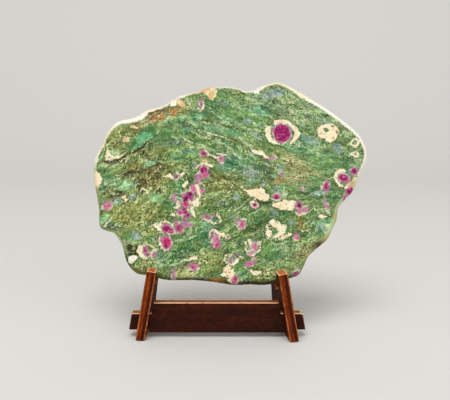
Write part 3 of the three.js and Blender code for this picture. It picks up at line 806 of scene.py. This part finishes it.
def makeSlab():
    points, faces, past, zero = slabSurface()
    noise.seed_set(slabShape["rippleSeed"])
    warp = np.zeros(points.shape)
    for ripple, reach in slabShape["ripples"]:
        warp += reach * np.array([noise.noise_vector(Vector(point) * ripple) for point in points])
    # places that waver, so that markings worked out from them have uneven edges
    spots = points + 0.9 * warp * np.array([1, 1, 0.3])
    closeSpots = points + 0.5 * warp
    mesh = bpy.data.meshes.new("rubyZoisiteSlab")
    mesh.from_pydata([tuple(point) for point in (points + zero) @ slabAxes * mm], [], faces)
    mesh.shade_smooth()
    keep(mesh, "place", "FLOAT_VECTOR", points)
    keep(mesh, "layers", "FLOAT_VECTOR", foliation(points + 2 * warp))
    ground, grain = groundTone(spots + 1.5 * warp)
    keep(mesh, "ground", "FLOAT_COLOR", ground)
    keep(mesh, "grain", "FLOAT", grain)
    shade, rim = rimTone(points, past)
    keep(mesh, "rim", "FLOAT", rim)
    keep(mesh, "rimTone", "FLOAT_COLOR", shade)

    ruby = Marks(closeSpots)
    grey = Marks(spots)
    pale = Marks(closeSpots)
    fleck = Marks(closeSpots)
    ruby.addOvals(rubies, slabShape["crystalCorners"])
    grey.addOvals(tintedOvals)
    fleck.addOvals(flecks)
    grey.addPatches(tintedPatches)
    pale.addPatches(palePatches)
    pale.add("ivory", threadGap(closeSpots, ivoryThreads))
    markBack(ruby, grey, pale)
    for name, marks in (("ruby", ruby), ("grey", grey), ("pale", pale), ("fleck", fleck)):
        keep(mesh, name, "FLOAT", marks.gap)
        keep(mesh, name + "Tone", "FLOAT_COLOR", marks.tone)
    keep(mesh, "seam", "FLOAT", threadGap(spots, seams))
    keep(mesh, "thread", "FLOAT", threadGap(spots, mistThreads))
    print("slab: markings laid on front, rim and back")
    return newObject("ruby_zoisite_slice", mesh)


stoneLook = {
    "brightness": -0.23,  # in doublings
    "swathes": 1.2,  # how strongly the broadest light and dark shows, then finer ones along the layers
    "bands": 2.3,
    "flow": 2.3,
    "fine": 2.9,
    "crystals": 3.0,
    "grit": 2.6,
    "bump": 0.3,
    "relief": 0.4,  # mm
    "roughness": 0.42,
    "rimRoughness": 0.72,
    "gloss": 0.16,
}


def stoneFinish(look):
    stone = Recipe("rubyInZoisite", tones)
    grain = stone.read("grain")

    def layered(along, across, detail=2.0, roughness=0.5):
        return stone.cloud("layers", (along, across, across * 0.6), detail, roughness)

    def clouds(fineness, detail=2.0, roughness=0.5):
        return stone.cloud("place", (fineness, fineness, fineness), detail, roughness)

    def crystalCells(along, across, reach):
        # cells with wandering edges along the layers, and three random values for each
        spot = stone.place("layers", (along, across, across * 0.7))
        drift = stone.node("ShaderNodeTexNoise", {}, {"Vector": spot, "Scale": 0.8, "Detail": 2.0}, "Color")
        drift = stone.node("ShaderNodeVectorMath", {"operation": "SUBTRACT"}, {0: drift, 1: (0.5, 0.5, 0.5)})
        moved = {0: drift, 1: (reach, reach, reach), 2: spot}
        moved = stone.node("ShaderNodeVectorMath", {"operation": "MULTIPLY_ADD"}, moved)
        tint = stone.node("ShaderNodeTexVoronoi", {}, {"Vector": moved, "Scale": 1.0}, "Color")
        return [stone.node("ShaderNodeSeparateColor", {}, {0: tint}, channel) for channel in range(3)]

    ragged = clouds(0.7, 3.0, 0.6)
    blots = clouds(0.22)
    crystals = clouds(0.85, 3.0, 0.65)
    mottle = clouds(0.5, 2.0, 0.55)
    lens = crystalCells(0.12, 0.34, 1.2)
    flake = crystalCells(0.4, 0.62, 0.8)
    grit = crystalCells(1.25, 1.55, 0.3)[0] - 0.5
    streaky = 1.3 - grain
    flow = layered(0.07, 0.42, 3.0)
    fine = layered(0.25, 0.85, 3.0, 0.6)

    # the green ground
    base = stone.coats(stone.read("ground", "Color"), [
        ("slate", lens[1], 0.72, 0.9, (1.0 - grain) * 0.6),
        ("rust", clouds(0.27), 0.06, 0.22, grain * 0.25),
        ("leaf", lens[2], 0.5, 0.8, 0.35),
        ("teal", flake[1], 0.6, 0.8, (1.2 - grain) * 0.5),
        ("tan", flake[2], 0.66, 0.8, grain * 0.4 + 0.1),
    ])
    greyGap = stone.read("grey") + ragged * 4.0 + crystals * 2.0
    greyCover = stone.step(greyGap, 0.7, -0.7)
    base = stone.paint(base, stone.read("greyTone", "Color"), greyCover * 0.78)

    # how light each spot is
    light = layered(0.02, 0.07) * look["swathes"] + layered(0.05, 0.2) * look["bands"]
    light = light + (flow * look["flow"] + fine * look["fine"]) * streaky
    patchy = 1.0 + layered(0.05, 0.12) * 2.6
    light = light + (crystals * look["crystals"] + grit * look["grit"]) * (0.4 + grain * 0.7) * patchy
    light = light + (lens[0] - 0.5) * 0.4 * streaky + (flake[0] - 0.5) * (0.3 + grain * 0.3)
    light = (light + look["brightness"]) * (1.0 - greyCover * 0.25)
    base = stone.node("ShaderNodeVectorMath", {"operation": "SCALE"}, {0: base, "Scale": 2.0 ** light})
    cracks = abs(layered(0.04, 0.16, 4.0, 0.65))
    threads = stone.read("thread") + ragged * 3.2
    base = stone.coats(base, [
        ("shade", light, -0.6, -1.8, 0.6),
        ("mist", light, 0.2, 1.25, 0.62),
        ("ivory", light, 0.95, 1.75, 0.65),
        ("umber", cracks, 0.016, 0.004, stone.step(grain, 0.4, 0.9) * 0.8),
        ("mist", threads, 0.5, -0.6, stone.step(flow + crystals, -0.14, 0.06) * 0.85),
    ])

    # the rim, the pale patches, the rubies and the seams, each over the last
    # the rim's tones hold painted top light along the top and painted shade underneath
    rimCover = stone.step(stone.read("rim") + ragged * 3.2 + crystals * 2.0, -1.0, 0.9)
    rimShade = stone.coats(stone.read("rimTone", "Color"), [
        ("sage", crystals, -0.02, -0.2, 0.5),
        ("white", crystals, 0.05, 0.2, 0.4),
    ])
    pale = stone.read("pale") + ragged * 4.2 + crystals * 1.6 + blots * 1.2 - 0.02
    paleTone = stone.coats(stone.read("paleTone", "Color"), [
        ("honey", crystals, 0.02, -0.18, 0.5),
        ("mist", fine, 0.02, 0.14, 0.45),
        ("white", blots, -0.02, 0.12, 0.45),
        ("olive", grit, -0.3, -0.42, 0.5),
    ])
    ruby = stone.read("ruby") + ragged * 2.0
    rubyTone = stone.coats(stone.read("rubyTone", "Color"), [
        ("plum", mottle, -0.02, -0.14, 0.7),
        ("pink", mottle, 0.03, 0.15, 0.75),
        ("blush", mottle + grit * 0.14, 0.12, 0.26, 0.8),
        ("plum", grit, -0.25, -0.4, 0.5),
        ("blush", ruby + grit, -1.3, 0.1, 0.4),
    ])
    base = stone.coats(stone.paint(base, rimShade, rimCover), [
        ("shade", abs(pale - 0.7), 0.7, 0.1, stone.step(crystals, 0.1, -0.1) * 0.75),
        (paleTone, pale, 0.35, -0.35, 1.0),
        (stone.read("fleckTone", "Color"), stone.read("fleck") + ragged * 1.8, 0.3, -0.3, 0.9),
        ("ivory", ruby, 1.5, 1.0, stone.step(blots, -0.02, 0.08) * 0.6),
        ("lilac", ruby + blots * 7.0, 1.6, 0.2, 0.5),
        (rubyTone, ruby, 0.25, -0.25, 1.0),
        ("umber", stone.read("seam") + ragged * 3.6 + crystals * 2.5, 0.8, -0.1, 0.9),
    ])
    return stone.surface({
        "Base Color": base,
        "Roughness": rimCover * (look["rimRoughness"] - look["roughness"]) + look["roughness"],
        "Normal": stone.relief(crystals, look),
        "Specular IOR Level": look["gloss"],
    })


# the wooden stand, in mm
woodShape = {
    "voxel": 0.45,  # spacing of the points
    "groove": 0.09,  # depth of the open grain
    "grooves": (1.6, 1.6, 0.07),  # how many grooves to a mm, through the plank, across it and along it
    "wave": 0.12,  # depth of the hand-sanded unevenness
    "waves": (0.12, 0.12, 0.06),
    "edgeReach": 0.5,  # how far the painted highlights along the edges reach
    "edgeAngle": 20,  # degrees between two faces that make an edge
    "edgeStep": 0.4,  # spacing of the points along an edge
}


def sharpEdgePoints(mesh):
    # points along the edges where two flat faces of a CAD piece meet
    shape = bmesh.new()
    shape.from_mesh(mesh)
    bmesh.ops.remove_doubles(shape, verts=shape.verts, dist=0.001 * mm)
    points = []
    for edge in shape.edges:
        if len(edge.link_faces) == 2 and edge.calc_face_angle() > math.radians(woodShape["edgeAngle"]):
            start, end = (corner.co / mm for corner in edge.verts)
            for share in np.linspace(0, 1, int((end - start).length / woodShape["edgeStep"]) + 2):
                points.append(start.lerp(end, share))
    shape.free()
    return points


def plankAxes(source, grainAlong):
    # the ways through the plank, across it and along its grain
    areas = np.array([polygon.area for polygon in source.polygons])
    facing = np.array([polygon.normal for polygon in source.polygons])
    thick = np.linalg.eigh((facing.T * areas) @ facing)[1][:, 2]
    thick = thick * math.copysign(1, thick[0] + thick[1])
    along = np.array(grainAlong, float) - np.dot(grainAlong, thick) * thick
    along /= np.linalg.norm(along)
    return thick, np.cross(along, thick), along


def evenWood(name, source):
    # a copy of the CAD piece with evenly spaced points
    wood = newObject(name, source.copy())
    even = wood.modifiers.new("even", "REMESH")
    even.mode = "VOXEL"
    even.voxel_size = woodShape["voxel"] * mm
    ready = wood.evaluated_get(bpy.context.evaluated_depsgraph_get())
    wood.data = bpy.data.meshes.new_from_object(ready)
    wood.modifiers.clear()
    wood.data.materials.clear()
    return wood


def softened(mesh):
    # the mesh's points in mm, moved twice halfway towards their neighbours, which rounds off the edges
    count = len(mesh.vertices)
    points = np.empty(count * 3)
    mesh.vertices.foreach_get("co", points)
    points = points.reshape(-1, 3) / mm
    ends = np.empty(len(mesh.edges) * 2, int)
    mesh.edges.foreach_get("vertices", ends)
    ends = ends.reshape(-1, 2)
    joined = np.bincount(ends.ravel(), minlength=count)[:, None]
    for _ in range(2):
        total = np.zeros((count, 3))
        np.add.at(total, ends[:, 0], points[ends[:, 1]])
        np.add.at(total, ends[:, 1], points[ends[:, 0]])
        points = (points + total / joined) / 2
    return points


def makeWood(node, name, grainAlong):
    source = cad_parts[node].data
    axes = plankAxes(source, grainAlong)
    wood = evenWood(name, source)
    mesh = wood.data
    points = softened(mesh)
    facing = np.empty(points.size)
    mesh.vertex_normals.foreach_get("vector", facing)
    facing = facing.reshape(-1, 3)

    middle = (points.min(0) + points.max(0)) / 2
    grainPlace = np.stack([(points - middle) @ axis for axis in axes], 1)
    inward = []
    for place in grainPlace:
        line = noise.noise(Vector(place * woodShape["grooves"]))
        swell = noise.noise(Vector(place * woodShape["waves"]))
        inward.append(woodShape["groove"] * max(line, 0.0) + woodShape["wave"] * (0.5 + 0.5 * swell))
    points -= facing * np.array(inward)[:, None]
    mesh.vertices.foreach_set("co", (points * mm).ravel())
    mesh.shade_smooth()

    gap = nearestGap(points, sharpEdgePoints(source))
    keep(mesh, "grainPlace", "FLOAT_VECTOR", grainPlace)
    keep(mesh, "nearEdge", "FLOAT", np.exp(-(gap / woodShape["edgeReach"]) ** 2))
    keep(mesh, "upward", "FLOAT", facing[:, 2])
    keep(mesh, "plankFace", "FLOAT", np.abs(facing @ axes[0]))
    print(name + ":", len(points), "points,", len(mesh.polygons), "faces")
    return wood


def woodFinish(node, look):
    wood = Recipe(node + "Finish", palette(look["tones"]))
    wander = wood.cloud("grainPlace", (0.1, 0.1, 0.03))
    bands = wood.cloud("grainPlace", (0.75, 0.16, 0.018), 3.0, 0.6)
    lines = wood.cloud("grainPlace", (1.2, 0.9, 0.06), 3.0, 0.6)
    pores = wood.cloud("grainPlace", (1.5, 1.5, 0.3), 2.0, 0.6)
    mottle = wood.cloud("grainPlace", (0.35, 0.35, 0.35), 3.0, 0.6)
    upward = wood.read("upward")
    plankFace = wood.read("plankFace")
    nearEdge = wood.read("nearEdge") + mottle * 0.7 + pores * 0.5
    through = wood.node("ShaderNodeSeparateXYZ", {}, {0: wood.read("grainPlace", "Vector")}, 0)
    heart = abs(through + wander * 2.0 + lines * 2.4 - look["heartAt"][node])
    heartShare = wood.step(pores + mottle, -0.35, -0.05) * look["heartCover"]
    # painted top light: a lighter tone for the faces that look up
    top = wood.coats(wood.tones["top"], [("main", mottle + pores, 0.0, 0.16, 0.8)])
    base = wood.coats(wood.tones["main"], [
        ("light", bands + mottle * 0.7, 0.0, 0.2, 0.8),
        ("deep", bands + lines * 0.6 + mottle * 0.5, 0.0, -0.2, 0.8),
        ("dark", heart, look["heartReach"], look["heartReach"] * 0.4, heartShare),
        ("dark", pores, 0.04, 0.2, 0.75),
        # painted shade: the plank's broad side faces are made darker, as if turned away from the light
        ("side", plankFace, 0.6, 0.9, look["sideShadeCover"]),
        # painted top light on the faces that look up
        (top, upward, 0.5, 0.85, 0.95),
        # painted highlight: a pale tone on every edge that doesn't face down
        ("edgeSheen", nearEdge, 0.5, 0.95, wood.step(upward, -0.4, -0.1) * look["edgeSheen"]),
        # painted highlight: the brightest tone on the edges that face up
        ("edge", nearEdge, look["edgeFrom"], look["edgeFrom"] + 0.3, wood.step(upward, 0.2, 0.6)),
    ])
    rough = lines * 0.3 + mottle * 0.2 + wood.step(plankFace, 0.6, 0.9) * look["sideDull"]
    return wood.surface({
        "Base Color": base,
        "Roughness": rough + look["roughness"],
        "Normal": wood.relief(lines * 0.5 + pores * 0.3, look),
        "Specular IOR Level": look["gloss"],
    })


slab = makeSlab()
slab.data.materials.append(stoneFinish(stoneLook))
print("stone finish:", len(slab.data.materials[0].node_tree.nodes), "nodes")
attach(slab, "root")
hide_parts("slab")

frameWood = {
    "tones": {
        "main": (124, 47, 2), "light": (164, 78, 12), "deep": (84, 28, 6), "dark": (36, 12, 6),
        # side is painted shade for the plank faces, top is painted top light, and the last two pale tones
        # are painted highlights along the edges
        "side": (64, 22, 8), "top": (206, 116, 58), "edgeSheen": (206, 126, 84), "edge": (255, 204, 160),
    },
    "heartAt": {"side_frame_left": 1.6, "side_frame_right": -0.6},  # mm from the middle of the plank
    "heartReach": 1.5,
    "heartCover": 0.9,
    "sideShadeCover": 0.85,
    "sideDull": 0.35,
    "edgeSheen": 0.8,
    "edgeFrom": 0.22,  # the lower, the wider the painted highlight on the upper edges
    "bump": 0.25,
    "relief": 0.3,  # mm
    "roughness": 0.42,
    "gloss": 0.08,
}
boardWood = {
    **frameWood,
    "tones": {
        "main": (52, 20, 7), "light": (74, 27, 14), "deep": (38, 14, 8), "dark": (30, 12, 8),
        # top is painted top light, and the last two pale tones are painted highlights along the edges; the
        # side tone's share is 0 here
        "side": (56, 18, 8), "top": (158, 82, 32), "edgeSheen": (190, 116, 70), "edge": (255, 206, 156),
    },
    "heartAt": {"cross_board": 0.0},
    "heartReach": 0.6,
    "heartCover": 0.0,
    "sideShadeCover": 0.0,
    "sideDull": 0.1,
    "edgeSheen": 0.3,
    "edgeFrom": 0.35,
}
upright = (0, 0, 1)
sideways = (1, 0, 0)

for node in ("side_frame_left", "side_frame_right"):
    wood = makeWood(node, node + "_wood", upright)
    wood.data.materials.append(woodFinish(node, frameWood))
    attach(wood, "root")
    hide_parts(node)

board = makeWood("cross_board", "cross_board_wood", sideways)
board.data.materials.append(woodFinish("cross_board", boardWood))
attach(board, "root")
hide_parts("cross_board")

# places and sizes in m
studioLook = {
    "floor": (226, 224, 220),
    "floorTo": (-3.0, 1.0),  # from front to back
    "bend": 0.8,  # radius of the curve up to the wall
    "wallTop": 3.0,
    "halfWidth": 4.0,
    "room": (0.9, 0.9, 0.9, 1),  # light from all round
    "roomPower": 0.5,
    "lamps": {  # place, size and power in W
        "key": ((-0.3, -1.5, 2.65), 1.8, 54.0),
        "fill": ((1.8, -2.4, 1.0), 2.4, 20.0),
    },
    "aim": (0, 0, 0.1),
    "camera": (-0.0041, -0.5114, 0.169),
    "tilt": 81.9,  # degrees up from straight down
    "lens": 56,
}


def makeFloor(look):
    # pale floor that curves up into a wall behind
    front, back = look["floorTo"]
    bend = look["bend"]
    profile = [(front, 0.0), (back, 0.0)]
    for turn in np.linspace(0.1, math.pi / 2, 16):
        profile.append((back + bend * math.sin(turn), bend - bend * math.cos(turn)))
    profile.append((back + bend, look["wallTop"]))
    corners = [(side, y, z) for y, z in profile for side in (-look["halfWidth"], look["halfWidth"])]
    sheets = [(2 * row, 2 * row + 1, 2 * row + 3, 2 * row + 2) for row in range(len(profile) - 1)]
    floor = newObject("floor", bpy.data.meshes.new("floor"))
    floor.data.from_pydata(corners, [], sheets)
    floor.data.shade_smooth()
    paint = Recipe("paleFloor", {})
    floor.data.materials.append(paint.surface({"Base Color": colour(*look["floor"]), "Roughness": 0.8}))


def makeLights(look):
    world = bpy.data.worlds.new("paleRoom")
    world.use_nodes = True
    room = world.node_tree.nodes["Background"].inputs
    room["Color"].default_value = look["room"]
    room["Strength"].default_value = look["roomPower"]
    bpy.context.scene.world = world
    for name, (place, size, power) in look["lamps"].items():
        light = bpy.data.lights.new(name, "AREA")
        light.energy = power
        light.size = size
        lamp = newObject(name, light)
        lamp.location = place
        lamp.rotation_euler = (Vector(place) - Vector(look["aim"])).to_track_quat("Z", "Y").to_euler()


def makeCamera(look):
    camera = newObject("camera", bpy.data.cameras.new("camera"))
    camera.location = look["camera"]
    camera.rotation_euler = (math.radians(look["tilt"]), 0, 0)
    camera.data.lens = look["lens"]
    bpy.context.scene.camera = camera
    bpy.context.scene.view_settings.view_transform = "Standard"


makeFloor(studioLook)
makeLights(studioLook)
makeCamera(studioLook)
print("studio: floor,", len(studioLook["lamps"]), "lamps and camera")

bpy.context.view_layer.update()
